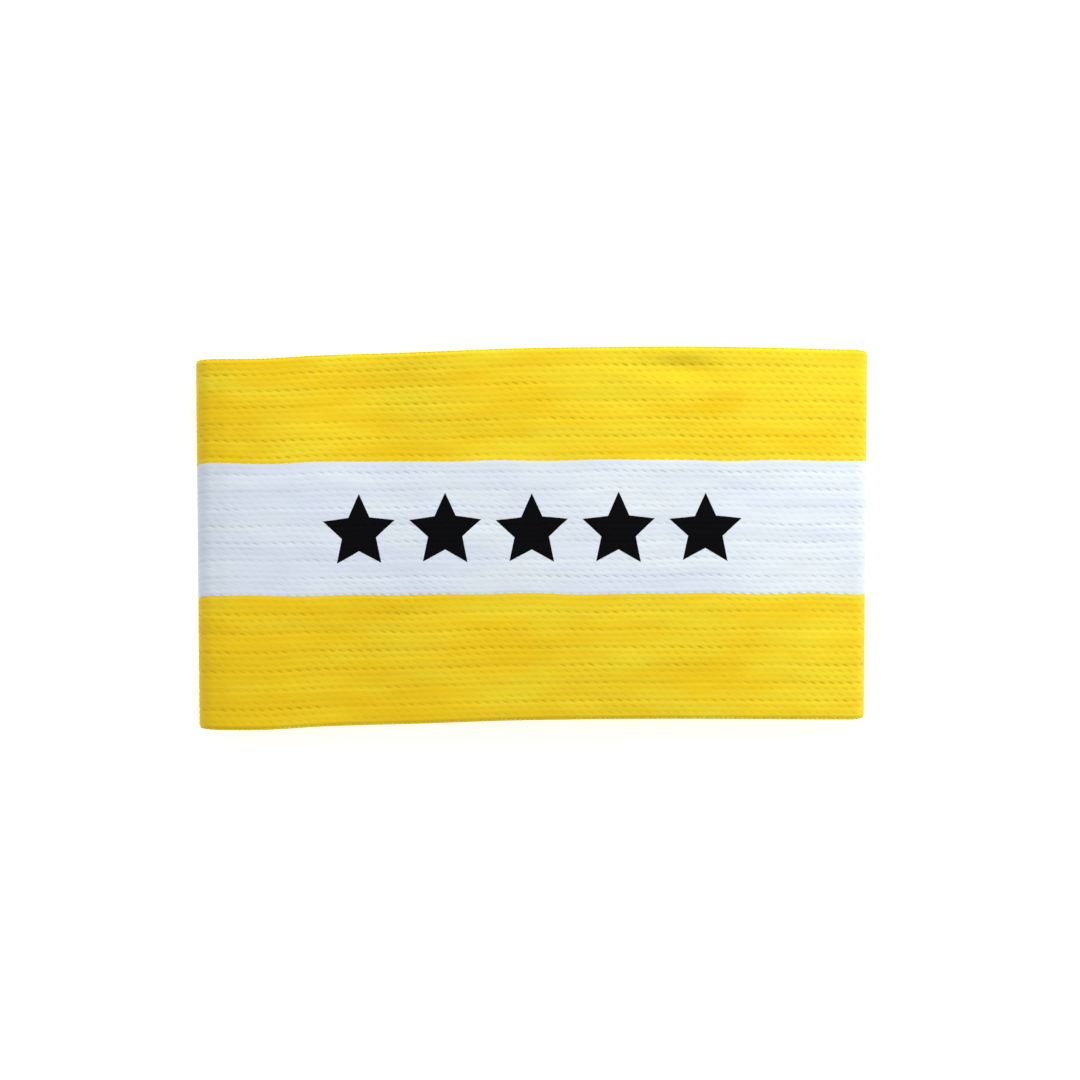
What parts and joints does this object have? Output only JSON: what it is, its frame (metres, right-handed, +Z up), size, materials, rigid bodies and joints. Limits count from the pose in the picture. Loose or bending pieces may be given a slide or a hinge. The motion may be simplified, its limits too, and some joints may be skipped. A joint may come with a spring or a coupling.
{
  "type": "captain armband",
  "caption": "Flat-lying loop of ribbed woven elastic in yellow and white stripes, with a lapped seam beneath and black stars printed on top, worn round the upper arm.",
  "frame": {"origin": "on the surface that the armband lies on, under the middle of the flattened loop", "axes": "+X along the flattened loop from fold to fold, to the right of the printed row; +Y across the band, up the printed row; +Z up, out of the printed face"},
  "size_m": [0.1316, 0.0744, 0.0125],
  "materials": {
    "elastic": "ribbed woven elastic, yellow with one white stripe, matte",
    "print": "matte black print on the weave"
  },
  "bodies": {
    "root": {"elastic_band": "elastic", "printed_star_1": "print", "printed_star_2": "print", "printed_star_3": "print", "printed_star_4": "print", "printed_star_5": "print"}
  },
  "joints": []
}
